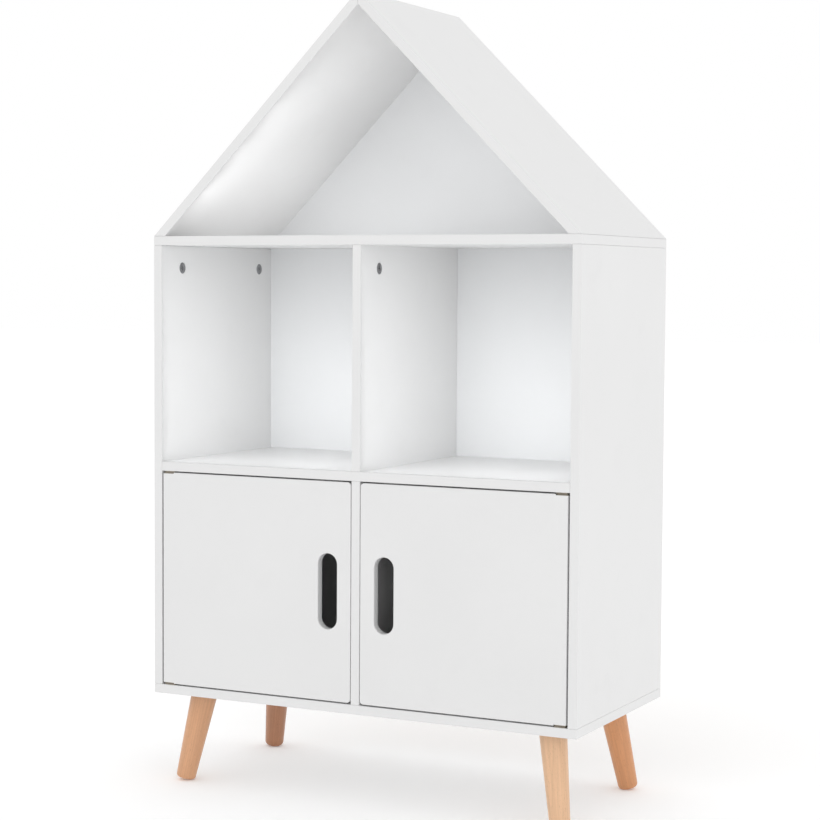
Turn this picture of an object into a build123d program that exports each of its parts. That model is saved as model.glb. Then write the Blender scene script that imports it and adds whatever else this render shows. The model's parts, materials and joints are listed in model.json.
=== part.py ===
from build123d import *
import os
from math import cos, radians, sin, sqrt, tan

# House-shaped cabinet for a child's room: a square carcass of two open niches over two doors,
# a pitched roof that makes a third niche, and four splayed round legs.
# Millimetres, +Z up, front towards -Y, origin on the floor under the middle of the carcass.

# Carcass and roof
cabinet_width = 600.0
cabinet_depth = 290.0
body_height = 600.0
lower_opening = 282.0
roof_pitch = 45.0
board = 12.0
edge_round = 1.0

# Thin back boards, held in grooves
back_board = 3.0
back_inset = 9.0
groove_depth = 4.0
groove_end_play = 0.5
groove_side_play = 0.1
seat_gap = 0.1

# Doors
door_board = 12.0
door_hinge_gap = 2.2
door_free_gap = 0.9
door_corner = 5.0
slot_width = 27.0
slot_height = 96.0
slot_to_edge = 33.1
slot_round = 1.5

# Pivot hinges: two leaves on one pin, at the outer top and bottom corner of each door
leaf_thickness = 1.5
leaf_width = 16.0
leaf_edge_inset = 1.0
leaf_corner = 3.0
leaf_play = 0.3
cabinet_leaf_length = 44.0
door_leaf_height = 30.0
pivot_from_edge = 7.0
pivot_from_front = 5.0
pivot_radius = 2.0
pivot_running_gap = 0.05
pivot_head_radius = 3.2
pivot_head_height = 1.0
pivot_head_gap = 0.2
recess_gap = 0.5

# Screws
screw_radius = 1.6
screw_bite = 8.0
pilot_gap = 0.05
leaf_screw_first = 24.0
leaf_screw_pitch = 13.0
door_screw_first = 9.0
door_screw_pitch = 13.0

# Cam fittings and dowels
cam_radius = 7.4
cam_height = 9.5
cam_sunk = 0.3
cam_bore_gap = 0.1
cam_setback = 29.0
cam_from_front = 50.0
cam_from_back = 44.0
cross_length = 7.0
cross_width = 1.3
cross_depth = 2.2
bolt_head_radius = 3.0
bolt_head_length = 3.0
bolt_neck_radius = 1.8
bolt_neck_end = 5.5
bolt_gap = 0.3
bolt_bite = 8.0
dowel_radius = 3.0
dowel_in_face = 7.5
dowel_in_edge = 16.0
dowel_from_cam = 32.0
dowel_gap = 0.05
dowel_end_gap = 0.5
roof_dowel_radius = 2.5
roof_dowel_reach = 7.0
roof_dowel_from_face = 4.5

# Magnetic catches
catch_length = 40.0
catch_depth = 14.0
catch_height = 12.0
catch_core = 24.0
catch_ear = 3.0
catch_corner = 3.0
catch_from_free_edge = 40.0
magnet_length = 18.0
magnet_depth = 9.0
magnet_height = 5.0
pole_thickness = 1.2
pole_proud = 0.5
pocket_gap = 0.2
catch_air_gap = 0.3
strike_length = 24.0
strike_height = 10.0
strike_thickness = 1.0
strike_below_top = 1.0

# Legs and their plates
leg_height = 118.5
leg_inset_side = 50.0
leg_inset_front = 46.0
leg_inset_back = 51.5
leg_splay = 13.0
leg_taper = 2.25
leg_foot_radius = 12.7
leg_foot_round = 5.0
plate_size = 62.0
plate_corner = 8.0
plate_thickness = 2.5
plate_screw_inset = 8.0
nut_radius = 6.5
nut_height = 5.0
nut_hole_gap = 0.7
nut_hole_depth = 6.5
hanger_radius = 4.0
hanger_bite = 26.0
hanger_gap = 0.05

# Planes and levels worked out from the sizes above
half_width = cabinet_width / 2
front = -cabinet_depth / 2
rear = cabinet_depth / 2
inner_side = half_width - board
divider_face = board / 2
underside = leg_height
floor_top = underside + board
shelf_under = floor_top + lower_opening
shelf_top = shelf_under + board
body_top = underside + body_height
ceiling = body_top - board
roof_angle = radians(roof_pitch)
ridge = body_top + half_width * tan(roof_angle)
roof_across = board / sin(roof_angle)
roof_down = board / cos(roof_angle)
back_face = rear - back_inset - back_board
cam_rows = (front + cam_from_front, rear - cam_from_back)
dowel_rows = (cam_rows[0] + dowel_from_cam, cam_rows[1] - dowel_from_cam)

door_end_gap = leaf_thickness + leaf_play
door_hinge_edge = inner_side - door_hinge_gap
door_free_edge = divider_face + door_free_gap
door_bottom = floor_top + door_end_gap
door_top = shelf_under - door_end_gap
door_middle = (door_bottom + door_top) / 2
door_back = front + door_board
pivot_x = door_hinge_edge - pivot_from_edge
pivot_y = front + pivot_from_front
pilot_radius = screw_radius + pilot_gap
screw_sink = leaf_thickness
tab_top = door_top
tab_under = tab_top - leaf_thickness
leaf_back = door_back + leaf_thickness

splay = radians(leg_splay)
taper = tan(radians(leg_taper))
foot_ring = leg_foot_radius - leg_foot_round * (sqrt(1 + taper * taper) - taper)
foot_drop = foot_ring * sin(splay) + leg_foot_round * (1 - cos(splay))
leg_length = (underside - foot_drop) / cos(splay)
leg_top_radius = leg_foot_radius + leg_length * taper

LEFT = Vector(-1, 0, 0)
RIGHT = Vector(1, 0, 0)
BACKWARD = Vector(0, 1, 0)
FORWARD = Vector(0, -1, 0)
UP = Vector(0, 0, 1)
DOWN = Vector(0, 0, -1)


def span(x, y, z):
    """Box between two limits along each axis."""
    size = [high - low for low, high in (x, y, z)]
    centre = [(low + high) / 2 for low, high in (x, y, z)]
    return Pos(*centre) * Box(*size)


def bar(start, direction, radius, length):
    """Round bar that starts at a point and runs along a direction."""
    from_start = (Align.CENTER, Align.CENTER, Align.MIN)
    return Plane(origin=start, z_dir=direction) * Cylinder(radius, length, align=from_start)


def turned(start, direction, outline):
    """Turned piece: outline holds (distance along the axis, radius) points."""
    profile = Polyline([(radius, along) for along, radius in outline], close=True)
    half_section = Plane.XZ * make_face(profile)
    return Plane(origin=start, z_dir=direction) * revolve(half_section, Axis.Z)


def eased(solid):
    """Board with all its edges softly rounded, as lacquered board is."""
    return fillet(solid.edges(), edge_round)


def front_eased(solid):
    """Board with the edges of its front and rear ends rounded."""
    ends = solid.faces().sort_by(Axis.Y)
    return fillet(ends[0].edges() + ends[-1].edges(), edge_round)


def mirrored_x(solid):
    """The same piece on the other side of the cabinet."""
    return mirror(solid, about=Plane.YZ)


def both_sides(solids):
    """A list of pieces with their mirror images."""
    return solids + [mirrored_x(solid) for solid in solids]


def mirrored_down(solid):
    """The same hinge piece at the door's other end."""
    return mirror(solid, about=Plane(origin=(0, 0, door_middle), z_dir=(0, 0, 1)))


def both_ends(solids):
    """A list of hinge pieces with those at the door's other end."""
    return solids + [mirrored_down(solid) for solid in solids]


def group(solids):
    """Separate solids that share one node."""
    return Compound(children=[solid for item in solids for solid in item.solids()])


def columns(rows):
    """Lists of the first, second and later members of matching tuples."""
    return [list(column) for column in zip(*rows)]


def countersunk_screw(head, direction, sink, length):
    """Flat-headed screw whose head is flush with a leaf as thick as its sink."""
    point = length - screw_radius
    outline = [
        (0, 0),
        (0, screw_radius + sink),
        (sink, screw_radius),
        (point, screw_radius),
        (length, 0),
    ]
    return turned(head, direction, outline)


def screw_hole(head, direction, sink):
    """Countersunk hole for that screw through its leaf."""
    wide = screw_radius + pilot_gap + sink
    return turned(head, direction, [(0, 0), (0, wide), (sink, pilot_radius), (sink, 0)])


def pilot(head, direction, length):
    """Pilot hole for the screw's shank in the board behind the leaf."""
    return bar(head, direction, pilot_radius, length + pilot_gap)


def cam_fitting(face_point, towards, out_of_face):
    """Cam lock in a board's face, its bolt from the mating board, and the bores for both."""
    place = Plane(origin=face_point, x_dir=towards, z_dir=out_of_face)
    from_top = (Align.CENTER, Align.CENTER, Align.MAX)
    axis = Vector(0, 0, -board / 2)

    disc = Pos(0, 0, -cam_sunk) * Cylinder(cam_radius, cam_height, align=from_top)
    cross_top = Pos(0, 0, -cam_sunk)
    disc -= cross_top * Box(cross_length, cross_width, 2 * cross_depth)
    disc -= cross_top * Box(cross_width, cross_length, 2 * cross_depth)
    disc -= bar(axis, RIGHT, bolt_head_radius + bolt_gap, 2 * cam_radius)
    disc -= bar(axis, LEFT, bolt_head_radius + bolt_gap, bolt_head_length)

    head = bolt_head_length / 2
    end = cam_setback + bolt_bite
    bolt = turned(
        axis,
        RIGHT,
        [
            (-head, 0),
            (-head, bolt_head_radius),
            (head, bolt_head_radius),
            (head, bolt_neck_radius),
            (bolt_neck_end, bolt_neck_radius),
            (bolt_neck_end, bolt_head_radius),
            (end, bolt_head_radius),
            (end, 0),
        ],
    )
    bores = Cylinder(cam_radius + cam_bore_gap, cam_sunk + cam_height, align=from_top)
    bores += bar(axis, RIGHT, bolt_head_radius + bolt_gap, cam_setback)
    bores += bar(axis, RIGHT, bolt_head_radius + dowel_gap, end + dowel_gap)
    return place * disc, place * bolt, place * bores


def dowel(joint_point, into_edge):
    """Wooden dowel across a joint between one board's face and another's edge, and its bore."""
    start = joint_point - into_edge * dowel_in_face
    length = dowel_in_face + dowel_in_edge
    pin = bar(start, into_edge, dowel_radius, length)
    bore_start = start - into_edge * dowel_end_gap
    bore = bar(bore_start, into_edge, dowel_radius + dowel_gap, length + 2 * dowel_end_gap)
    return pin, bore


# Joints of the carcass. The side, shelf and roof joints are the left ones, mirrored later.
def side_joints():
    """Cams, bolts, dowels and bores of the left side panel with the top, bottom and shelf."""
    middle = -(inner_side + board / 2)
    shelf_middle = (shelf_under + shelf_top) / 2
    cams = []
    for y in cam_rows:
        cams.append(cam_fitting((-inner_side, y, ceiling - cam_setback), UP, RIGHT))
        cams.append(cam_fitting((-inner_side, y, floor_top + cam_setback), DOWN, RIGHT))
        cams.append(cam_fitting((cam_setback - inner_side, y, shelf_under), LEFT, DOWN))
    dowels = []
    for y in dowel_rows:
        dowels.append(dowel(Vector(middle, y, ceiling), DOWN))
        dowels.append(dowel(Vector(middle, y, floor_top), UP))
        dowels.append(dowel(Vector(-inner_side, y, shelf_middle), RIGHT))
    return columns(cams), columns(dowels)


def divider_joints():
    """The same for the two dividers: one cam at the front of each, dowels elsewhere."""
    cam_row, last_row = cam_rows
    cams = [
        cam_fitting((divider_face, cam_row, ceiling - cam_setback), UP, RIGHT),
        cam_fitting((divider_face, cam_row, floor_top + cam_setback), DOWN, RIGHT),
    ]
    dowels = []
    for y in (dowel_rows[0], last_row):
        dowels.append(dowel(Vector(0, y, ceiling), DOWN))
        dowels.append(dowel(Vector(0, y, floor_top), UP))
    dowels += [dowel(Vector(0, y, shelf_top), UP) for y in dowel_rows]
    dowels += [dowel(Vector(0, y, shelf_under), DOWN) for y in cam_rows]
    return columns(cams), columns(dowels)


def roof_dowel(start, direction):
    """Short dowel and its bore."""
    length = 2 * roof_dowel_reach
    bore_start = start - direction * dowel_end_gap
    bore_length = length + 2 * dowel_end_gap
    pin = bar(start, direction, roof_dowel_radius, length)
    return pin, bar(bore_start, direction, roof_dowel_radius + dowel_gap, bore_length)


def roof_joints():
    """Dowels at the foot of the left roof panel, and those across the mitred ridge."""
    first = (cam_rows[0] + dowel_rows[0]) / 2
    last = (cam_rows[1] + dowel_rows[1]) / 2
    rows = (first, (first + last) / 2, last)
    foot_x = roof_across - roof_dowel_from_face - half_width
    ridge_z = ridge - roof_down + roof_dowel_from_face
    feet = [roof_dowel(Vector(foot_x, y, body_top - roof_dowel_reach), UP) for y in rows]
    ridges = [roof_dowel(Vector(-roof_dowel_reach, y, ridge_z), RIGHT) for y in rows]
    return columns(feet), columns(ridges)


# Back boards and the grooves that hold them
def gable_outline(grip):
    """Triangle inside the roof that reaches a grip into the roof panels and the top panel."""
    foot = body_top - grip
    apex = ridge - (board - grip) / cos(roof_angle)
    reach = (apex - foot) / tan(roof_angle)
    return Plane.XZ * make_face(Polyline((-reach, foot), (reach, foot), (0, apex), close=True))


def back_boards():
    """The carcass back and the gable back."""
    grip = groove_depth - groove_end_play
    sides = inner_side + grip
    body = span((-sides, sides), (back_face, back_face + back_board), (floor_top - grip, ceiling + grip))
    gable = Pos(0, back_face, 0) * extrude(gable_outline(grip), -back_board)
    return body, gable


def back_grooves():
    """Cutters for the grooves of both back boards."""
    low = back_face - groove_side_play
    width = back_board + 2 * groove_side_play
    sides = inner_side + groove_depth
    body = span((-sides, sides), (low, low + width), (floor_top - groove_depth, ceiling + groove_depth))
    gable = Pos(0, low, 0) * extrude(gable_outline(groove_depth), -width)
    return body, gable


# Hinges, made for the upper left corner and mirrored to the other three
def cabinet_leaf():
    """Flat leaf under the shelf, its screws and their pilot holes."""
    left = -(door_hinge_edge - leaf_edge_inset)
    near = front + leaf_edge_inset
    low = shelf_under - leaf_thickness
    leaf = span((left, left + leaf_width), (near, near + cabinet_leaf_length), (low, shelf_under))
    leaf = fillet(leaf.edges().filter_by(Axis.Z), leaf_corner)
    leaf -= bar((-pivot_x, pivot_y, low), UP, pivot_radius, leaf_thickness)
    length = leaf_thickness + screw_bite
    screws = []
    pilots = []
    for row in (leaf_screw_first, leaf_screw_first + leaf_screw_pitch):
        head = Vector(-pivot_x, front + row, low)
        leaf -= screw_hole(head, UP, screw_sink)
        screws.append(countersunk_screw(head, UP, screw_sink, length))
        pilots.append(pilot(head, UP, length))
    return leaf, screws, pilots


def door_leaf():
    """Cranked leaf let into the door's top edge and screwed to its back face."""
    near = front + leaf_edge_inset
    left = -door_hinge_edge
    right = left + leaf_width
    foot = tab_top - door_leaf_height
    tab = span((left, right), (near, leaf_back), (tab_under, tab_top))
    plate = span((left, right), (door_back, leaf_back), (foot, tab_top))
    leaf = tab + plate
    bend = leaf.edges().filter_by(Axis.X).sort_by(Axis.Z)[-2:].sort_by(Axis.Y)[-1]
    leaf = fillet(bend, leaf_thickness - seat_gap)
    foot_corners = leaf.edges().filter_by(Axis.Y).sort_by(Axis.Z)[:2]
    leaf = fillet(foot_corners, leaf_corner)
    tab_corners = leaf.edges().filter_by(Axis.Z).sort_by(Axis.Y)[:2]
    leaf = fillet(tab_corners, leaf_corner)
    leaf -= bar((-pivot_x, pivot_y, tab_under), UP, pivot_radius + pivot_running_gap, leaf_thickness)
    screws = []
    pilots = []
    length = leaf_thickness + screw_bite
    for drop in (door_screw_first, door_screw_first + door_screw_pitch):
        head = Vector(left + leaf_width / 2, leaf_back, tab_top - drop)
        leaf -= screw_hole(head, FORWARD, screw_sink)
        screws.append(countersunk_screw(head, FORWARD, screw_sink, length))
        pilots.append(pilot(head, FORWARD, length))
    return leaf, screws, pilots


def hinge_pin():
    """Headed pin, riveted flush in the cabinet leaf; the door leaf turns on it."""
    head_under = tab_under - pivot_head_gap - pivot_head_height
    head_top = tab_under - pivot_head_gap
    shank = shelf_under - head_under
    shoulder = head_top - head_under
    outline = [
        (0, 0),
        (0, pivot_head_radius),
        (shoulder, pivot_head_radius),
        (shoulder, pivot_radius),
        (shank, pivot_radius),
        (shank, 0),
    ]
    return turned((-pivot_x, pivot_y, head_under), UP, outline)


def door_recess():
    """Notch in the door's edge for the leaf, with the sunk hole for the pin's head."""
    left = -door_hinge_edge
    notch = span(
        (left - door_hinge_gap, left + leaf_width + seat_gap),
        (front - door_board, door_back + door_board),
        (tab_under, shelf_under),
    )
    depth = pivot_head_gap + pivot_head_height + recess_gap
    hole = bar((-pivot_x, pivot_y, tab_under), DOWN, pivot_head_radius + recess_gap, depth)
    return notch + hole


# Catches, made for the left door
def catch():
    """Housing on the shelf's underside, its magnet between two pole plates, and its screws."""
    middle = -(door_free_edge + catch_from_free_edge)
    near = door_back + strike_thickness + catch_air_gap + pole_proud
    far = near + catch_depth
    low = shelf_under - catch_height
    half_core = catch_core / 2
    half_length = catch_length / 2
    core = span((middle - half_core, middle + half_core), (near, far), (low, shelf_under))
    core = fillet(core.edges().filter_by(Axis.Z), edge_round)
    ears = span(
        (middle - half_length, middle + half_length),
        (near, far),
        (shelf_under - catch_ear, shelf_under),
    )
    ears = fillet(ears.edges().filter_by(Axis.Z), catch_corner)
    housing = core + ears

    half_magnet = magnet_length / 2
    stack = magnet_height + 2 * pole_thickness
    pole_under = (low + shelf_under - catch_ear - stack) / 2
    across = (middle - half_magnet, middle + half_magnet)
    deep = near + magnet_depth
    housing -= span(
        (across[0] - pocket_gap, across[1] + pocket_gap),
        (near, deep + pocket_gap),
        (pole_under - pocket_gap, pole_under + stack + pocket_gap),
    )
    magnet_under = pole_under + pole_thickness
    magnet_top = magnet_under + magnet_height
    magnet = [
        span(across, (near, deep), (magnet_under, magnet_top)),
        span(across, (near - pole_proud, deep), (pole_under, magnet_under)),
        span(across, (near - pole_proud, deep), (magnet_top, magnet_top + pole_thickness)),
    ]
    screws = []
    pilots = []
    ear_middle = (half_core + half_length) / 2
    for x in (middle - ear_middle, middle + ear_middle):
        head = Vector(x, (near + far) / 2, shelf_under - catch_ear)
        length = catch_ear + screw_bite
        housing -= [screw_hole(head, UP, screw_sink), pilot(head, UP, length)]
        screws.append(countersunk_screw(head, UP, screw_sink, length))
        pilots.append(pilot(head, UP, length))
    return housing, group(magnet), screws, pilots


def strike():
    """Steel strike plate on the back of the door, its screw and pilot hole."""
    middle = -(door_free_edge + catch_from_free_edge)
    half = strike_length / 2
    top = door_top - strike_below_top
    face = door_back + strike_thickness
    plate = span((middle - half, middle + half), (door_back, face), (top - strike_height, top))
    plate = fillet(plate.edges().filter_by(Axis.Y), edge_round)
    head = Vector(middle, face, top - strike_height / 2)
    plate -= screw_hole(head, FORWARD, strike_thickness)
    length = strike_thickness + screw_bite
    screw = countersunk_screw(head, FORWARD, strike_thickness, length)
    return plate, screw, pilot(head, FORWARD, length)


# Doors
def door(pilots):
    """Left door: rounded free corners, a finger slot, and recesses for its two hinges."""
    width = door_hinge_edge - door_free_edge
    height = door_top - door_bottom
    middle = -(door_hinge_edge + door_free_edge) / 2
    face = Pos(middle, door_middle) * Rectangle(width, height)
    free_corners = face.vertices().sort_by(Axis.X)[-2:]
    face = fillet(free_corners, door_corner)
    panel = Pos(0, front, 0) * extrude(Plane.XZ * face, -door_board)
    panel = front_eased(panel)
    slot_x = -(door_free_edge + slot_to_edge)
    slot_face = Pos(slot_x, door_middle) * SlotOverall(slot_height, slot_width, rotation=90)
    slot = Pos(0, front, 0) * extrude(Plane.XZ * slot_face, -door_board)
    panel -= slot
    rims = panel.edges().filter_by(lambda edge: is_slot_rim(edge, slot_x))
    panel = fillet(rims, slot_round)
    recess = door_recess()
    return panel - [recess, mirrored_down(recess)] - pilots


def is_slot_rim(edge, slot_x):
    """True for the edges round the slot's two mouths."""
    centre = edge.center()
    near_slot = abs(centre.X - slot_x) < slot_width and abs(centre.Z - door_middle) < slot_height
    on_face = min(abs(centre.Y - front), abs(centre.Y - door_back)) < edge_round / 2
    return near_slot and on_face


# Legs
def leg_axis(y_sign):
    """Where the left leg's axis meets the cabinet's underside, and its direction down."""
    inset = leg_inset_front if y_sign < 0 else leg_inset_back
    top = Vector(leg_inset_side - half_width, y_sign * (rear - inset), underside)
    outward = sin(splay) / sqrt(2)
    return top, Vector(-outward, y_sign * outward, -cos(splay))


def leg(y_sign):
    """Tapered round leg cut level under its plate, and the bolt down into its top."""
    top, down = leg_axis(y_sign)
    above = leg_top_radius
    outline = Polyline(
        (0, -above),
        (leg_top_radius + above * taper, -above),
        (leg_foot_radius, leg_length),
        (0, leg_length),
        close=True,
    )
    profile = make_face(outline)
    foot_corner = profile.vertices().sort_by(Axis.Y)[-2:].sort_by(Axis.X)[-1]
    profile = fillet(foot_corner, leg_foot_round)
    wood = Plane(origin=top, z_dir=down) * revolve(Plane.XZ * profile, Axis.Z)
    seat = leg_seat(y_sign)
    reach = 2 * leg_top_radius
    wood -= span(
        (seat.X - reach, seat.X + reach),
        (seat.Y - reach, seat.Y + reach),
        (seat.Z, seat.Z + reach),
    )
    wood -= bar(seat, DOWN, hanger_radius + hanger_gap, hanger_bite + hanger_gap)
    head = plate_thickness + nut_height
    hanger = bar(seat + UP * head, DOWN, hanger_radius, head + hanger_bite)
    return wood, hanger


def leg_seat(y_sign):
    """Middle of the leg's level top, on its plate's lower face."""
    top, down = leg_axis(y_sign)
    return top + down * (plate_thickness / cos(splay))


def leg_plate(y_sign):
    """Flat plate with a nut welded on top, its screws, and the holes they need in the board."""
    seat = leg_seat(y_sign)
    half = plate_size / 2
    plate = span((seat.X - half, seat.X + half), (seat.Y - half, seat.Y + half), (seat.Z, underside))
    plate = fillet(plate.edges().filter_by(Axis.Z), plate_corner)
    nut_seat = seat + UP * plate_thickness
    plate += bar(nut_seat, UP, nut_radius, nut_height)
    plate -= bar(seat, UP, hanger_radius + hanger_gap, plate_thickness + nut_height)
    holes = [bar(nut_seat, UP, nut_radius + nut_hole_gap, nut_hole_depth)]
    screws = []
    reach = half - plate_screw_inset
    length = plate_thickness + screw_bite
    for x in (seat.X - reach, seat.X + reach):
        for y in (seat.Y - reach, seat.Y + reach):
            head = Vector(x, y, seat.Z)
            plate -= [screw_hole(head, UP, screw_sink), pilot(head, UP, length)]
            screws.append(countersunk_screw(head, UP, screw_sink, length))
            holes.append(pilot(head, UP, length))
    return plate, screws, holes


# Boards of the carcass and roof
def side_panel(cutters):
    """Left side panel, between the bottom and top panels."""
    panel = eased(span((-half_width, -inner_side), (front, rear), (floor_top, ceiling)))
    return panel - cutters


def full_width_panel(low, high, cutters):
    """Board that runs right across under or over the side panels."""
    panel = eased(span((-half_width, half_width), (front, rear), (low, high)))
    return panel - cutters


def shelf_panel(cutters):
    """Middle shelf, between the side panels and in front of the back board."""
    panel = span((-inner_side, inner_side), (front, back_face - seat_gap), (shelf_under, shelf_top))
    return front_eased(panel) - cutters


def divider_panel(low, high, cutters):
    """Upright divider between two boards."""
    panel = span((-divider_face, divider_face), (front, back_face - seat_gap), (low, high))
    return front_eased(panel) - cutters


def roof_panel(cutters):
    """Left roof panel: cut level at its foot and mitred at the ridge."""
    section = Polyline(
        (-half_width, body_top),
        (roof_across - half_width, body_top),
        (0, ridge - roof_down),
        (0, ridge),
        close=True,
    )
    panel = Pos(0, front, 0) * extrude(Plane.XZ * make_face(section), -cabinet_depth)
    return front_eased(panel) - cutters


def build():
    """Every node of the cabinet by name."""
    (side_locks, side_bolts, side_cam_bores), (side_pins, side_pin_bores) = side_joints()
    (centre_locks, centre_bolts, centre_cam_bores), (centre_pins, centre_pin_bores) = divider_joints()
    (foot_pins, foot_bores), (ridge_pins, ridge_bores) = roof_joints()
    body_back, gable_back = back_boards()
    body_groove, gable_groove = back_grooves()
    fixed_leaf, fixed_screws, fixed_pilots = cabinet_leaf()
    swing_leaf, swing_screws, swing_pilots = door_leaf()
    pin = hinge_pin()
    housing, magnet, catch_screws, catch_pilots = catch()
    strike_plate, strike_screw, strike_pilot = strike()
    woods, hangers = columns([leg(-1), leg(1)])
    plates, plate_screws, plate_holes = columns([leg_plate(-1), leg_plate(1)])

    side_bores = side_cam_bores + side_pin_bores
    centre_bores = centre_cam_bores + centre_pin_bores
    all_bores = both_sides(side_bores) + centre_bores
    lower_pilots = [mirrored_down(hole) for hole in fixed_pilots]
    under_holes = lower_pilots + plate_holes[0] + plate_holes[1]
    left_side = side_panel(side_bores + [body_groove])
    left_roof = roof_panel(foot_bores + ridge_bores + [gable_groove])
    left_door = door(both_ends(swing_pilots) + [strike_pilot])

    top_cutters = all_bores + both_sides(foot_bores) + [body_groove, gable_groove]
    bottom_cutters = all_bores + both_sides(under_holes) + [body_groove]
    nodes = {
        "top_panel": full_width_panel(ceiling, body_top, top_cutters),
        "bottom_panel": full_width_panel(underside, floor_top, bottom_cutters),
        "middle_shelf": shelf_panel(all_bores + both_sides(fixed_pilots + catch_pilots)),
        "upper_divider": divider_panel(shelf_top, ceiling, centre_bores),
        "lower_divider": divider_panel(floor_top, shelf_under, centre_bores),
        "back_panel": body_back,
        "gable_back_panel": gable_back,
        "cam_locks": group(both_sides(side_locks) + centre_locks),
        "cam_bolts": group(both_sides(side_bolts) + centre_bolts),
        "wooden_dowels": group(both_sides(side_pins) + centre_pins),
        "roof_dowels": group(both_sides(foot_pins) + ridge_pins),
        "hinge_pins": group(both_sides(both_ends([pin]))),
        "cabinet_leaf_screws": group(both_sides(both_ends(fixed_screws))),
        "catch_screws": group(both_sides(catch_screws)),
        "leg_hanger_bolts": group(both_sides(hangers)),
        "leg_plate_screws": group(both_sides(plate_screws[0] + plate_screws[1])),
    }
    handed = {
        "*_side_panel": left_side,
        "*_roof_panel": left_roof,
        "*_door": left_door,
        "upper_*_cabinet_leaf": fixed_leaf,
        "lower_*_cabinet_leaf": mirrored_down(fixed_leaf),
        "upper_*_door_leaf": swing_leaf,
        "lower_*_door_leaf": mirrored_down(swing_leaf),
        "*_door_leaf_screws": group(both_ends(swing_screws)),
        "*_catch_housing": housing,
        "*_catch_magnet": magnet,
        "*_strike_plate": strike_plate,
        "*_strike_screw": strike_screw,
        "front_*_leg": woods[0],
        "back_*_leg": woods[1],
        "front_*_leg_plate": plates[0],
        "back_*_leg_plate": plates[1],
    }
    for pattern, piece in handed.items():
        nodes[pattern.replace("*", "left")] = piece
        nodes[pattern.replace("*", "right")] = mirrored_x(piece)
    return nodes


os.makedirs("parts", exist_ok=True)
for node, shape in build().items():
    export_step(shape, f"parts/{node}.step")
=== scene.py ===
import json
import math
import random

import bmesh
import bpy
from mathutils import Matrix, Vector


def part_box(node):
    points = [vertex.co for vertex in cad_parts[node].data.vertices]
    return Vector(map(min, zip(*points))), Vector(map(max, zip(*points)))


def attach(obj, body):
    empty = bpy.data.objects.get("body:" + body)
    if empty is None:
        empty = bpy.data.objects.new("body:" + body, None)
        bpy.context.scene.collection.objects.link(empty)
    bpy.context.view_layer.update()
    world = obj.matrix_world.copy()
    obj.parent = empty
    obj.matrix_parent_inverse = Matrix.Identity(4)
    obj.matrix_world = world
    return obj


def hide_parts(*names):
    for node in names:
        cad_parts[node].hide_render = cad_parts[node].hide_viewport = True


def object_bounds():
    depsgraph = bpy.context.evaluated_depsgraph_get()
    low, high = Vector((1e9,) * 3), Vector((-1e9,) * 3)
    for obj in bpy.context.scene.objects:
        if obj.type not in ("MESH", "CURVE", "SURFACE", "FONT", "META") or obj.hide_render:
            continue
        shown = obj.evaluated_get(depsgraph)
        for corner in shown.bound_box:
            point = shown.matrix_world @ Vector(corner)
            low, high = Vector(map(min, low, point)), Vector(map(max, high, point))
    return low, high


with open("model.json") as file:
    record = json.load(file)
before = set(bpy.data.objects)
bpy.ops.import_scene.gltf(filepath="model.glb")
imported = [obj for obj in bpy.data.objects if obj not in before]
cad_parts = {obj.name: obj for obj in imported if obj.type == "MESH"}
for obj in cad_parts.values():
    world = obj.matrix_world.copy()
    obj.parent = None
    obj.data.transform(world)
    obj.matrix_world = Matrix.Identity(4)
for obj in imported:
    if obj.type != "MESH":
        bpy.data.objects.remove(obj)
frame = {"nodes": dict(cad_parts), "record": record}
cad_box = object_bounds()
nodes = frame["nodes"]
body_of_node = {
    name: body
    for body, names in frame["record"]["behaviour"]["bodies"].items()
    for name in names
}
slot_of_node = {part["node"]: part["material_slot"] for part in frame["record"]["subparts"]}

MM = 0.001
WELD = 0.00001

# The photograph's view, in millimetres and degrees
CAMERA_PLACE = (1218.68, -2402.47, 660.59)
CAMERA_AZIMUTH = 26.858
CAMERA_ELEVATION = -3.539
CAMERA_ROLL = 0.336
CAMERA_LENS = 90.744
SENSOR = 36.0
CLIP_END = 100.0

# Studio, in metres and watts
FLOOR_SIZE = 40.0
FLOOR_SHADE = 0.97
FLOOR_MOTTLE = 0.005
FLOOR_GLOW = 0.1
WORLD_STRENGTH = 1.0
AIM = (0.0, 0.0, 0.5)
KEY_PLACE = (3.0, -3.0, 1.1)
KEY_SIZE = 1.6
KEY_POWER = 6.0

# Soft fills inside the niches and behind the doors, in metres, watts and degrees.
# A niche's side fill stands a share of the niche's width to the right of its middle.
FILL_INSET = 0.0015
FILL_MARGIN = 0.003
COOL_LIGHT = (0.985, 0.994, 1.0)
WHITE_LIGHT = (1.0, 1.0, 1.0)
INWARDS = (0, 1, 0)
NICHE_POWER = 0.072
SLATS = 5
SLAT_TILT = 12.0
SLAT_SPREAD = 95.0
SLAT_POWER = 0.0085
ATTIC_BANDS = 3
ATTIC_BAND = 0.05
ATTIC_POWER = 0.125
SIDE_FILL_Y = -0.08
SIDE_FILL_DEPTH = 0.12
NICHE_SIDE_SHARE = 1 / 3
NICHE_SIDE_AIM = (-1.0, 0.3, -0.08)
NICHE_SIDE_POWER = 0.045
NICHE_SIDE_SPREAD = 110.0
ATTIC_SIDE_X = 0.2
ATTIC_SIDE_HEIGHT = 0.06
ATTIC_SIDE_AIM = (-1.0, 0.28, -0.16)
ATTIC_SIDE_POWER = 0.085
ATTIC_SIDE_SPREAD = 52.0
COMPARTMENT_SETBACK = 0.0152
COMPARTMENT_SIZE = (0.2, 0.2)
COMPARTMENT_POWER = 0.0045

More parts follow.
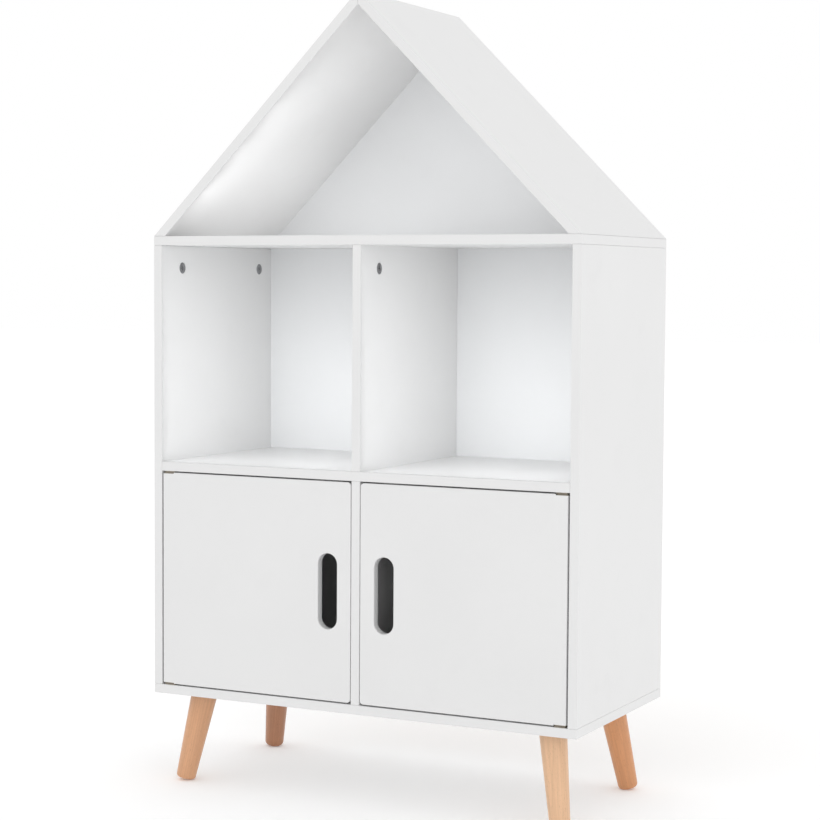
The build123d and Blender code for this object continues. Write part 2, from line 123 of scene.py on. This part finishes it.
# Colours, as the screen shows them
WHITE = (226, 226, 226)
BACK_WHITE = (225, 226, 227)
RAW_FIBRE = (124, 96, 70)
# Each leg's beech colour holds painted light and shade: the back left leg is painted darker as its
# shade, and the front right lighter as lit from the right. The rest is tone that differs from leg to
# leg.
BEECH_LIT_AND_SHADED = {
    "front_left_leg": (218, 164, 123),
    "back_left_leg": (178, 125, 92),
    "front_right_leg": (232, 188, 149),
    "back_right_leg": (215, 151, 103),
}
BARE_BEECH = (216, 178, 134)
ZINC = (196, 198, 202)
PLATE_STEEL = (176, 178, 183)
CAST_ZINC = (152, 152, 154)
BRONZE = (140, 132, 120)
SCREW_BRONZE = (146, 137, 122)
NICKEL_GREY = (104, 104, 107)
CATCH_WHITE = (233, 233, 231)

# Which part of the wood's figure each leg is cut from
BEECH_FIGURES = {
    "front_left_leg": 1.0,
    "back_left_leg": 4.0,
    "front_right_leg": 7.0,
    "back_right_leg": 2.5,
}

# The growth rings' pitch, and how much of a leg's ends is measured, in metres
RING_PITCH = 0.0032
LEG_TOP_BAND = 0.001
LEG_FOOT_BAND = 0.012

# Surfaces. Most of a noise's values lie between NOISE_LOW and NOISE_HIGH, the rings drift
# by a number of pitches, the raw face is in metres and the angle in degrees.
NOISE_LOW = 0.3
NOISE_HIGH = 0.7
RING_DRIFT = 1.7
LACQUER_IOR = 1.48
PLASTIC_IOR = 1.5
METALLIC = 0.92
RAW_FACE_START = 0.0002
RAW_FACE_FULL = 0.0001
SHARP_ANGLE = 28.0

# Screws, in millimetres, and in shares of a radius or of the thread's pitch
SHANK_RADIUS = 1.6
HEAD_BEVEL = 0.2
HEAD_RIM = 0.12
THREAD_PITCH = 1.1
THREAD_SLOPE = 0.35
THREAD_ROOT = 0.72
POINT_START = 0.7
POINT_LENGTH = 1.8
RECESS_LENGTH = 1.16
RECESS_WIDTH = 0.22
RECESS_DEPTH = 1.5
RECESS_BELOW_HEAD = 0.3
SCREW_STEPS = 32

# Cross recesses, in shares of a wing's size
RECESS_TAPER = 0.35
END_TAPER = 0.4
CONE_TOP = 1.5
CONE_FLOOR = 0.4
CONE_STEPS = 16

# Cam locks, in millimetres. The ring's points are (distance from the rim, depth).
CAM_RING = ((1.7, 0), (1.5, 0.25), (1.2, 0.25), (1.0, 0))
CAM_BEVEL = 0.5
CAM_REAR_BEVEL = 0.4
CAM_RECESS = {"length": 7.0, "width": 1.2, "depth": 2.1}
CAM_ARROW = {"tip": 5.5, "tail": 4.1, "half_width": 0.9, "depth": 0.3}
CAM_STEPS = 56
MOUTH_RADIUS = 3.3
MOUTH_END = 4
MOUTH_STEPS = 24
CUT_THROUGH = 1


class Recipe:
    """A material's node tree, with short calls for the nodes that the finishes use."""

    def __init__(self, name):
        self.material = bpy.data.materials.new(name)
        self.material.use_nodes = True
        self.tree = self.material.node_tree
        self.tree.nodes.clear()
        self.space = self.add("ShaderNodeTexCoord", output="Object")

    def fill(self, socket, value):
        """Links a socket to another one's value, or sets it."""
        if isinstance(value, bpy.types.NodeSocket):
            self.tree.links.new(value, socket)
        else:
            socket.default_value = value

    def add(self, kind, inputs=None, output=0, **settings):
        """Makes a node, fills its inputs, and returns one of its outputs."""
        node = self.tree.nodes.new(kind)
        for key, value in settings.items():
            setattr(node, key, value)
        for key, value in (inputs or {}).items():
            self.fill(node.inputs[key], value)
        return node.outputs[output]

    def moved(self, place, shift=(0, 0, 0), turn=(0, 0, 0), scale=(1, 1, 1)):
        """Texture space scaled, turned and then moved."""
        inputs = {"Vector": place, "Location": shift, "Rotation": turn, "Scale": scale}
        return self.add("ShaderNodeMapping", inputs)

    def noise(self, place, scale, detail=2.0, roughness=0.5, distortion=0.0):
        inputs = {
            "Vector": place,
            "Scale": scale,
            "Detail": detail,
            "Roughness": roughness,
            "Distortion": distortion,
        }
        return self.add("ShaderNodeTexNoise", inputs)

    def spread(self, value, low, high, out_low=0.0, out_high=1.0):
        """Maps a value's range onto another, held at its ends."""
        inputs = {
            "Value": value,
            "From Min": low,
            "From Max": high,
            "To Min": out_low,
            "To Max": out_high,
        }
        return self.add("ShaderNodeMapRange", inputs)

    def over(self, noise, out_low=0.0, out_high=1.0):
        """Maps the range where most of a noise's values lie onto another."""
        return self.spread(noise, NOISE_LOW, NOISE_HIGH, out_low, out_high)

    def math(self, operation, first, second=0.0):
        return self.add("ShaderNodeMath", {0: first, 1: second}, operation=operation)

    def axis(self, place, name):
        """One coordinate of a place."""
        return self.add("ShaderNodeSeparateXYZ", {0: place}, output=name)

    def length(self, place):
        return self.add("ShaderNodeVectorMath", {0: place}, "Value", operation="LENGTH")

    def blend(self, share, first, second):
        """Mixes two colours."""
        node = self.tree.nodes.new("ShaderNodeMix")
        node.data_type = "RGBA"
        for key, value in ((0, share), (6, first), (7, second)):
            self.fill(node.inputs[key], value)
        return node.outputs[2]

    def bump(self, height, distance, normal=None):
        """Surface normal raised by a height map whose full relief is a distance in metres."""
        inputs = {"Height": height, "Distance": distance}
        if normal:
            inputs["Normal"] = normal
        return self.add("ShaderNodeBump", inputs)

    def finish(self, **sockets):
        """Ends the material with a Principled shader."""
        names = {name.replace("_", " "): value for name, value in sockets.items()}
        surface = self.add("ShaderNodeBsdfPrincipled", names)
        end = self.tree.nodes.new("ShaderNodeOutputMaterial")
        self.tree.links.new(surface, end.inputs["Surface"])
        return self.material


def shade(colour, gain=1.0):
    """Screen colour, 0 to 255, as a linear shader colour, brightened by a gain."""
    linear = []
    for value in colour:
        share = value / 255
        level = share / 12.92 if share <= 0.04045 else ((share + 0.055) / 1.055) ** 2.4
        linear.append(min(level * gain, 1.0))
    return (*linear, 1.0)


# Finishes
def lacquer(name, seed):
    """Satin white lacquer: faint clouds, fine orange peel, dust nibs and light handling marks."""
    r = Recipe(name)
    place = r.moved(r.space, shift=(seed * 0.37, seed * 0.71, seed * 0.53))
    clouds = r.noise(place, scale=6.0, detail=3.0)
    marks = r.noise(place, scale=21.0, detail=4.0, roughness=0.62, distortion=0.6)
    nibs = r.add("ShaderNodeTexVoronoi", {"Vector": place, "Scale": 55.0}, "Distance")
    peel = r.noise(place, scale=380.0, detail=1.5)
    grit = r.noise(place, scale=2600.0, detail=2.0)
    tone = r.blend(r.over(clouds), shade(WHITE, 0.986), shade(WHITE, 1.012))
    tone = r.blend(r.spread(marks, 0.6, 0.8, 0.0, 0.35), tone, shade(WHITE, 0.955))
    gloss = r.over(clouds, 0.34, 0.43)
    gloss = r.math("ADD", gloss, r.spread(marks, 0.55, 0.8, 0.0, 0.09))
    normal = r.bump(r.spread(nibs, 0.0, 0.03, 1.0, 0.0), 0.000012)
    normal = r.bump(grit, 0.000003, normal)
    normal = r.bump(peel, 0.00002, normal)
    return r.finish(Base_Color=tone, Roughness=gloss, IOR=LACQUER_IOR, Normal=normal)


def back_foil(name, seed, rear_y):
    """White foil on thin fibreboard, with the raw fibreboard on its rear face."""
    r = Recipe(name)
    place = r.moved(r.space, shift=(seed, seed * 0.3, seed * 0.6))
    clouds = r.noise(place, scale=4.0, detail=3.0)
    fibres = r.noise(r.moved(place, scale=(1.0, 1.0, 0.55)), scale=900.0, detail=5.0, roughness=0.7)
    chips = r.noise(place, scale=160.0, detail=4.0, roughness=0.65, distortion=1.2)
    white = r.blend(r.over(clouds), shade(BACK_WHITE, 0.985), shade(BACK_WHITE, 1.01))
    brown = r.blend(r.over(fibres), shade(RAW_FIBRE, 0.72), shade(RAW_FIBRE, 1.3))
    brown = r.blend(r.spread(chips, 0.56, 0.68, 0.0, 0.5), brown, shade(RAW_FIBRE, 0.45))
    raw = r.spread(r.axis(r.space, "Y"), rear_y - RAW_FACE_START, rear_y - RAW_FACE_FULL)
    rough = r.spread(raw, 0.0, 1.0, 0.42, 0.85)
    relief = r.math("MULTIPLY", fibres, r.spread(raw, 0.0, 1.0, 0.12, 1.0))
    tone = r.blend(raw, white, brown)
    return r.finish(Base_Color=tone, Roughness=rough, IOR=LACQUER_IOR, Normal=r.bump(relief, 0.00006))


def beech(name, colour, figure, top, down):
    """Clear-lacquered beech: growth rings, long fibres, pores and the short dark ray flecks.

    The grain runs along a leg's axis, from a point at its top downwards."""
    r = Recipe(name)
    turn = down.to_track_quat("-Z", "Y").to_matrix().transposed()
    place = r.moved(r.space, shift=turn @ -top, turn=turn.to_euler())
    place = r.moved(place, shift=(0.021 + figure * 0.002, 0.013, figure * 0.31))
    drift = r.noise(r.moved(place, scale=(1, 1, 0.18)), scale=45.0, detail=2.0)
    flat = r.moved(place, scale=(1, 1, 0))
    ring = r.math("MULTIPLY", r.length(flat), 1 / RING_PITCH)
    ring = r.math("ADD", ring, r.math("MULTIPLY", drift, RING_DRIFT))
    ring = r.math("POWER", r.math("FRACT", ring), 2.6)
    fibre = r.noise(r.moved(place, scale=(1, 1, 0.022)), scale=1100.0, detail=4.0, roughness=0.6)
    streak = r.noise(r.moved(place, scale=(1, 1, 0.03)), scale=170.0, detail=2.0)
    fleck = r.noise(r.moved(place, scale=(1, 1, 0.17)), scale=1500.0, detail=1.0)
    pore = r.noise(r.moved(place, scale=(1, 1, 0.05)), scale=4200.0, detail=1.0)
    tone = r.blend(r.over(streak), shade(colour, 0.9), shade(colour, 1.08))
    tone = r.blend(r.math("MULTIPLY", ring, 0.34), tone, shade(colour, 0.72))
    tone = r.blend(r.spread(fibre, 0.35, 0.75, 0.0, 0.4), tone, shade(colour, 0.78))
    tone = r.blend(r.spread(fleck, 0.66, 0.74, 0.0, 0.55), tone, shade(colour, 0.5))
    tone = r.blend(r.spread(pore, 0.62, 0.72, 0.0, 0.25), tone, shade(colour, 0.6))
    rough = r.over(fibre, 0.36, 0.5)
    normal = r.bump(fibre, 0.00002)
    return r.finish(
        Base_Color=tone,
        Roughness=rough,
        Normal=r.bump(pore, 0.000008, normal),
        Coat_Weight=0.25,
        Coat_Roughness=0.28,
    )


def bare_wood(name, colour):
    """Bare turned beech of the dowels."""
    r = Recipe(name)
    fibre = r.noise(r.moved(r.space, scale=(1, 1, 0.4)), scale=1800.0, detail=4.0, roughness=0.65)
    cloud = r.noise(r.space, scale=90.0)
    tone = r.blend(r.over(cloud), shade(colour, 0.85), shade(colour, 1.12))
    tone = r.blend(r.spread(fibre, 0.45, 0.75, 0.0, 0.5), tone, shade(colour, 0.66))
    return r.finish(Base_Color=tone, Roughness=0.78, Normal=r.bump(fibre, 0.00004))


def metal(name, colour, rough, worn, grain=900.0, relief=0.00001, patch=60.0):
    """Plated or cast metal: cloudy tone and gloss, fine grain, and paler rubbed spots."""
    r = Recipe(name)
    cloud = r.noise(r.space, scale=patch, detail=4.0, roughness=0.6)
    fine = r.noise(r.space, scale=grain, detail=3.0, roughness=0.6)
    rubbed = r.noise(r.space, scale=2.4 * patch, detail=5.0, roughness=0.7)
    tone = r.blend(r.over(cloud), shade(colour, 0.8), shade(colour, 1.16))
    tone = r.blend(r.spread(rubbed, 0.6, 0.74, 0.0, worn), tone, shade(colour, 1.9))
    gloss = r.over(cloud, rough - 0.05, rough + 0.07)
    gloss = r.math("ADD", gloss, r.over(fine, -0.03, 0.03))
    return r.finish(Base_Color=tone, Metallic=METALLIC, Roughness=gloss, Normal=r.bump(fine, relief))


def plastic(name, colour):
    """Moulded plastic with a fine spark texture."""
    r = Recipe(name)
    spark = r.noise(r.space, scale=2200.0, detail=3.0, roughness=0.65)
    cloud = r.noise(r.space, scale=40.0)
    tone = r.blend(r.over(cloud), shade(colour, 0.97), shade(colour, 1.02))
    rough = r.over(spark, 0.44, 0.58)
    return r.finish(Base_Color=tone, Roughness=rough, IOR=PLASTIC_IOR, Normal=r.bump(spark, 0.00001))


# Detailed pieces that stand for plain CAD nodes. Their outlines are in millimetres.
def lathe(outline, steps):
    """Closed round mesh about Z through (radius, z) points that start and end on the axis."""
    shape = bmesh.new()
    rings = []
    for radius, z in outline:
        if radius == 0:
            rings.append([shape.verts.new((0, 0, z))])
            continue
        angles = [2 * math.pi * step / steps for step in range(steps)]
        rings.append([shape.verts.new((radius * math.cos(a), radius * math.sin(a), z)) for a in angles])
    for upper, lower in zip(rings, rings[1:]):
        for step in range(steps):
            after = (step + 1) % steps
            corners = [upper[step % len(upper)], lower[step % len(lower)]]
            if len(lower) > 1:
                corners.append(lower[after])
            if len(upper) > 1:
                corners.append(upper[after])
            shape.faces.new(corners)
    bmesh.ops.recalc_face_normals(shape, faces=shape.faces)
    return shape


def prism(top_outline, floor_outline, depth):
    """Closed mesh between two like outlines, one a depth above the origin and one below."""
    shape = bmesh.new()
    top = [shape.verts.new((x, y, depth)) for x, y in top_outline]
    floor = [shape.verts.new((x, y, -depth)) for x, y in floor_outline]
    shape.faces.new(top)
    shape.faces.new(floor[::-1])
    for step, corner in enumerate(top):
        after = (step + 1) % len(top)
        shape.faces.new((corner, floor[step], floor[after], top[after]))
    bmesh.ops.recalc_face_normals(shape, faces=shape.faces)
    return shape


def wedge(length, width, depth):
    """Cutter for one wing of a cross recess: narrower at its floor than at its mouth."""
    signs = ((-1, -1), (1, -1), (1, 1), (-1, 1))
    outlines = []
    for share in (1 + RECESS_TAPER, 1 - RECESS_TAPER):
        half_length = length / 2 * (1 + (share - 1) * END_TAPER)
        half_width = width / 2 * share
        outlines.append([(sx * half_length, sy * half_width) for sx, sy in signs])
    return prism(*outlines, depth)


def arrow(tip, tail, half_width, depth):
    """Cutter for a small arrowhead that points along X."""
    outline = ((tip, 0), (tail, half_width), (tail, -half_width))
    return prism(outline, outline, depth)


def turned_about_z(shape, angle):
    shape.transform(Matrix.Rotation(angle, 4, "Z"))
    return shape


def mesh_of(shape, name):
    """Object with a bmesh's faces."""
    mesh = bpy.data.meshes.new(name)
    shape.to_mesh(mesh)
    shape.free()
    piece = bpy.data.objects.new(name, mesh)
    bpy.context.scene.collection.objects.link(piece)
    return piece


def carved(shape, cutters):
    """A bmesh with cutters taken out of it, as a mesh."""
    piece = mesh_of(shape, "carving")
    tools = [mesh_of(cutter, "cutter") for cutter in cutters]
    for tool in tools:
        cut = piece.modifiers.new("cut", "BOOLEAN")
        cut.operation = "DIFFERENCE"
        cut.solver = "EXACT"
        cut.object = tool
    graph = bpy.context.evaluated_depsgraph_get()
    mesh = bpy.data.meshes.new_from_object(piece.evaluated_get(graph))
    for thing in (piece, *tools):
        bpy.data.objects.remove(thing)
    return mesh


def cross_cutters(length, width, depth):
    """Cutters for a cross recess with a conical middle."""
    wings = [turned_about_z(wedge(length, width, depth), angle) for angle in (0, math.pi / 2)]
    cone = [(0, depth), (width * CONE_TOP, depth), (width * CONE_FLOOR, -depth), (0, -depth)]
    return wings + [lathe(cone, CONE_STEPS)]


def screw_mesh(head_radius, shank_radius, length):
    """Countersunk screw with a cross recess. Its head's top is at the origin, its point below."""
    sink = head_radius - shank_radius
    head = [(0, 0), (head_radius - HEAD_BEVEL, 0), (head_radius, -HEAD_RIM)]
    outline = [*head, (shank_radius, -sink)]
    depth = sink + THREAD_PITCH
    while depth < length - POINT_LENGTH * shank_radius:
        root = (shank_radius * THREAD_ROOT, -depth - THREAD_SLOPE * THREAD_PITCH)
        outline += [(shank_radius, -depth), root]
        depth += THREAD_PITCH
    outline += [(shank_radius * POINT_START, -depth), (0, -length)]
    recess_depth = min(RECESS_DEPTH, sink + RECESS_BELOW_HEAD)
    recess = cross_cutters(head_radius * RECESS_LENGTH, head_radius * RECESS_WIDTH, recess_depth)
    return carved(lathe(outline, SCREW_STEPS), recess)


def cam_mesh(radius, height, bolt_depth):
    """Cam lock: bevelled disc with a ring, a cross recess, an arrow and the mouth for its bolt.

    Its face is at the origin, and its bolt comes in along X."""
    outline = [
        (0, 0),
        *((radius - inset, -depth) for inset, depth in CAM_RING),
        (radius - CAM_BEVEL, 0),
        (radius, -CAM_BEVEL),
        (radius, CAM_REAR_BEVEL - height),
        (radius - CAM_REAR_BEVEL, -height),
        (0, -height),
    ]
    outside = radius + CUT_THROUGH
    passage = [(0, outside), (MOUTH_RADIUS, outside), (MOUTH_RADIUS, -MOUTH_END), (0, -MOUTH_END)]
    mouth = lathe(passage, MOUTH_STEPS)
    mouth.transform(Matrix.Translation((0, 0, -bolt_depth)) @ Matrix.Rotation(math.pi / 2, 4, "Y"))
    cutters = [*cross_cutters(**CAM_RECESS), arrow(**CAM_ARROW), mouth]
    return carved(lathe(outline, CAM_STEPS), cutters)


def solids_of(name):
    """The corners of each separate solid in a CAD node, in metres."""
    shape = bmesh.new()
    shape.from_mesh(nodes[name].data)
    bmesh.ops.remove_doubles(shape, verts=shape.verts, dist=WELD)
    left = set(shape.verts)
    solids = []
    while left:
        found = {left.pop()}
        to_visit = list(found)
        while to_visit:
            vert = to_visit.pop()
            linked = {edge.other_vert(vert) for edge in vert.link_edges} & left
            left -= linked
            found |= linked
            to_visit += linked
        solids.append([vert.co.copy() for vert in found])
    shape.free()
    return sorted(solids, key=lambda corners: tuple(round(value, 4) for value in middle(corners)))


def limits(corners):
    """Lowest and highest corner of a set of points."""
    columns = list(zip(*corners))
    return Vector(map(min, columns)), Vector(map(max, columns))


def middle(corners):
    low, high = limits(corners)
    return (low + high) / 2


def ends(corners, axis):
    """The points on a solid's two end planes along an axis."""
    low, high = limits(corners)
    return [
        [corner for corner in corners if abs(corner[axis] - level) < WELD]
        for level in (low[axis], high[axis])
    ]


def placement(point, outward, sideways):
    """Turns +Z to a face's outward direction and X sideways, at a point, from millimetres."""
    across = outward.cross(sideways).normalized()
    along = across.cross(outward).normalized()
    turn = Matrix((along, across, outward)).transposed().to_4x4()
    return Matrix.Translation(point) @ turn @ Matrix.Scale(MM, 4)


def unit(axis, sign):
    direction = Vector((0, 0, 0))
    direction[axis] = sign
    return direction


def extent(corners):
    """How far a set of points spreads."""
    low, high = limits(corners)
    return (high - low).length


def screws_of(name):
    """A detailed screw of the size of those in a CAD node, and a placement for each of them."""
    chance = random.Random(name)
    found = []
    for corners in solids_of(name):
        low, high = limits(corners)
        size = high - low
        axis = max(range(3), key=lambda index: size[index])
        low_end, high_end = ends(corners, axis)
        sign = 1 if extent(high_end) > extent(low_end) else -1
        outward = unit(axis, sign)
        head = middle(corners) + outward * size[axis] / 2
        angle = chance.uniform(0, math.pi)
        side = unit((axis + 1) % 3, 1) * math.cos(angle) + unit((axis + 2) % 3, 1) * math.sin(angle)
        found.append(placement(head, outward, side))
    # A node's screws are alike, so the last one's size stands for all of them
    head_radius = size[(axis + 1) % 3] / 2 / MM
    return screw_mesh(head_radius, SHANK_RADIUS, size[axis] / MM), found


def cams_of(name, bolts_name):
    """A detailed cam lock, and a placement for each: face out of the board, arrow to its bolt."""
    bolts = [middle(corners) for corners in solids_of(bolts_name)]
    found = []
    for corners in solids_of(name):
        low, high = limits(corners)
        size = high - low
        axis = min(range(3), key=lambda index: size[index])
        low_end, high_end = ends(corners, axis)
        outward = unit(axis, 1 if len(high_end) > len(low_end) else -1)
        centre = middle(corners)
        face = centre + outward * size[axis] / 2
        bolt = min(bolts, key=lambda place: (place - centre).length)
        bolt_depth = abs((bolt - face)[axis])
        towards = bolt - centre
        towards[axis] = 0
        found.append(placement(face, outward, towards))
    # The cam locks are alike too
    return cam_mesh(max(size) / 2 / MM, size[axis] / MM, bolt_depth / MM), found


def repeated(name, pattern, placements, material):
    """One piece of many copies of a mesh, standing for a CAD node."""
    shape = bmesh.new()
    for place in placements:
        before = len(shape.verts)
        shape.from_mesh(pattern)
        shape.verts.ensure_lookup_table()
        bmesh.ops.transform(shape, matrix=place, verts=shape.verts[before:])
    piece = mesh_of(shape, "fine_" + name)
    mesh = piece.data
    mesh.polygons.foreach_set("use_smooth", [True] * len(mesh.polygons))
    mesh.set_sharp_from_angle(angle=math.radians(SHARP_ANGLE))
    mesh.materials.append(material)
    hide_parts(name)
    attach(piece, body_of_node[name])


# What each node wears
def paint(name, material):
    piece = nodes[name]
    piece.data.materials.clear()
    piece.data.materials.append(material)


def leg_line(name):
    """A leg's axis: the middle of its top, and the direction down to the middle of its foot."""
    corners = [vert.co for vert in nodes[name].data.vertices]
    low, high = limits(corners)
    top = middle([corner for corner in corners if corner.z > high.z - LEG_TOP_BAND])
    foot = middle([corner for corner in corners if corner.z < low.z + LEG_FOOT_BAND])
    return top, (foot - top).normalized()


def dress():
    zinc = metal("zinc_plate", ZINC, 0.3, 0.2)
    plate = metal("plate_steel", PLATE_STEEL, 0.38, 0.25, patch=30.0)
    dark_zinc = metal("cast_zinc", CAST_ZINC, 0.46, 0.3, grain=1600.0, relief=0.00002)
    bronze = metal("hinge_bronze", BRONZE, 0.42, 0.2)
    bronze_screw = metal("screw_bronze", SCREW_BRONZE, 0.36, 0.3)
    magnet = metal("nickel_grey", NICKEL_GREY, 0.4, 0.3)
    dowel_wood = bare_wood("bare_beech", BARE_BEECH)
    catch_white = plastic("catch_plastic", CATCH_WHITE)
    shared = {
        "dowel_beech": dowel_wood,
        "cam_zinc": dark_zinc,
        "zinc_steel": zinc,
        "plate_steel": plate,
        "hinge_bronze": bronze,
        "hinge_screw": bronze_screw,
        "catch_plastic": catch_white,
        "magnet": magnet,
    }
    for order, name in enumerate(sorted(nodes)):
        slot = slot_of_node[name]
        if slot == "white_board":
            paint(name, lacquer("lacquer_" + name, order + 1.0))
        elif slot == "back_board":
            rear_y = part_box(name)[1].y
            paint(name, back_foil("foil_" + name, order + 1.0, rear_y))
        elif slot == "beech":
            # Each leg's material takes its colour, with its painted light and shade, from the table of
            # leg colours.
            paint(name, beech("beech_" + name, BEECH_LIT_AND_SHADED[name], BEECH_FIGURES[name], *leg_line(name)))
        else:
            paint(name, shared[slot])

    for name in nodes:
        if name.endswith(("_screws", "_screw")):
            repeated(name, *screws_of(name), shared[slot_of_node[name]])
    repeated("cam_locks", *cams_of("cam_locks", "cam_bolts"), dark_zinc)


# Studio and camera
def build_stage():
    r = Recipe("studio_floor")
    mottle = r.noise(r.space, scale=2.0)
    low = (FLOOR_SHADE - FLOOR_MOTTLE,) * 3 + (1.0,)
    high = (FLOOR_SHADE + FLOOR_MOTTLE,) * 3 + (1.0,)
    material = r.finish(
        Base_Color=r.blend(mottle, low, high),
        Roughness=0.9,
        Emission_Color=(1.0, 1.0, 1.0, 1.0),
        Emission_Strength=FLOOR_GLOW,
    )
    bpy.ops.mesh.primitive_plane_add(size=FLOOR_SIZE)
    floor = bpy.context.object
    floor.name = "studio_floor"
    floor.data.materials.append(material)


def build_world():
    world = bpy.data.worlds.new("studio")
    bpy.context.scene.world = world
    world.use_nodes = True
    background = world.node_tree.nodes["Background"]
    background.inputs["Color"].default_value = (1.0, 1.0, 1.0, 1.0)
    background.inputs["Strength"].default_value = WORLD_STRENGTH


def area_light(name, place, direction, width, height, power):
    lamp = bpy.data.lights.new(name, "AREA")
    lamp.shape = "RECTANGLE"
    lamp.size = width
    lamp.size_y = height
    lamp.energy = power
    light = bpy.data.objects.new(name, lamp)
    bpy.context.scene.collection.objects.link(light)
    turn = Vector(direction).to_track_quat("-Z", "Y").to_matrix().to_4x4()
    light.matrix_world = Matrix.Translation(place) @ turn
    return light


def fill_light(name, place, direction, size, power, colour, spread=180.0):
    """Area light inside the cabinet, unseen itself and in reflections."""
    fill = area_light(name, place, direction, *size, power)
    fill.data.spread = math.radians(spread)
    fill.data.color = colour
    fill.visible_camera = False
    fill.visible_glossy = False


def side_fill(name, x, low, high, aim, power, colour, spread):
    """Light across a niche, on the wall or slope at its left."""
    place = (x, SIDE_FILL_Y, (low + high) / 2)
    size = (SIDE_FILL_DEPTH, high - low)
    fill_light(name, place, aim, size, power, colour, spread)


def fill_niche(side, x, width, low, high):
    """Even light over a niche's mouth, and slats that shine inwards, the lower ones more."""
    y = cad_box[0][1] + FILL_INSET
    height = high - low
    place = (x, y, (low + high) / 2)
    colour = COOL_LIGHT
    fill_light(side + "_fill", place, INWARDS, (width, height), NICHE_POWER, colour)
    tilt = math.radians(SLAT_TILT)
    aim = (0, math.cos(tilt), -math.sin(tilt))
    pitch = height / SLATS
    slat = pitch - FILL_MARGIN
    y += slat * math.sin(tilt) / 2
    for step in range(SLATS):
        power = SLAT_POWER * (SLATS - step)
        place = (x, y, low + (step + 0.5) * pitch)
        name = f"{side}_slat_{step}"
        fill_light(name, place, aim, (width, slat), power, colour, SLAT_SPREAD)
    name = side + "_side_fill"
    x += width * NICHE_SIDE_SHARE
    aim, power, spread = NICHE_SIDE_AIM, NICHE_SIDE_POWER, NICHE_SIDE_SPREAD
    side_fill(name, x, low, high, aim, power, colour, spread)


def fill_attic(low, apex):
    """Bands of light over the foot of the gable's mouth, and one that shines on the left slope.

    The slopes rise at 45 degrees, so the mouth narrows by twice the height."""
    y = cad_box[0][1] + FILL_INSET
    for step in range(ATTIC_BANDS):
        z = low + (step + 0.5) * ATTIC_BAND
        size = (2 * (apex - z - ATTIC_BAND), ATTIC_BAND - FILL_MARGIN)
        power = ATTIC_POWER / (step + 1)
        fill_light(f"attic_fill_{step}", (0, y, z), INWARDS, size, power, WHITE_LIGHT)
    name = "attic_side_fill"
    high = low + ATTIC_SIDE_HEIGHT
    aim, power, spread = ATTIC_SIDE_AIM, ATTIC_SIDE_POWER, ATTIC_SIDE_SPREAD
    side_fill(name, ATTIC_SIDE_X, low, high, aim, power, WHITE_LIGHT, spread)


def fill_compartment(side, x):
    """Faint light behind a door, which shows through its finger slot."""
    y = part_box("left_side_panel")[0].y + COMPARTMENT_SETBACK
    z = (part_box("bottom_panel")[1].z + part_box("middle_shelf")[0].z) / 2
    name, size = side + "_compartment_fill", COMPARTMENT_SIZE
    fill_light(name, (x, y, z), INWARDS, size, COMPARTMENT_POWER, WHITE_LIGHT)


def build_lights():
    towards = Vector(AIM) - Vector(KEY_PLACE)
    area_light("key", KEY_PLACE, towards, KEY_SIZE, KEY_SIZE, KEY_POWER)
    divider_low, divider_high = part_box("upper_divider")
    side_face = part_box("right_side_panel")[0].x
    x = (divider_high.x + side_face) / 2
    width = side_face - divider_high.x - 2 * FILL_MARGIN
    low = divider_low.z + FILL_MARGIN
    high = divider_high.z - FILL_MARGIN
    fill_niche("left", -x, width, low, high)
    fill_niche("right", x, width, low, high)
    fill_attic(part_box("top_panel")[1].z + FILL_MARGIN, cad_box[1][2])
    fill_compartment("left", -x)
    fill_compartment("right", x)


def build_camera():
    camera_data = bpy.data.cameras.new("photo_view")
    camera_data.sensor_width = SENSOR
    camera_data.lens = CAMERA_LENS
    camera_data.clip_end = CLIP_END
    camera = bpy.data.objects.new("photo_view", camera_data)
    bpy.context.scene.collection.objects.link(camera)
    angles = (CAMERA_AZIMUTH, CAMERA_ELEVATION, CAMERA_ROLL)
    azimuth, elevation, roll = map(math.radians, angles)
    turn = (
        Matrix.Rotation(azimuth, 4, "Z")
        @ Matrix.Rotation(math.pi / 2 + elevation, 4, "X")
        @ Matrix.Rotation(roll, 4, "Z")
    )
    camera.matrix_world = Matrix.Translation(Vector(CAMERA_PLACE) * MM) @ turn
    bpy.context.scene.camera = camera


bpy.context.scene.view_settings.view_transform = "Standard"
dress()
build_world()
build_stage()
build_lights()
build_camera()
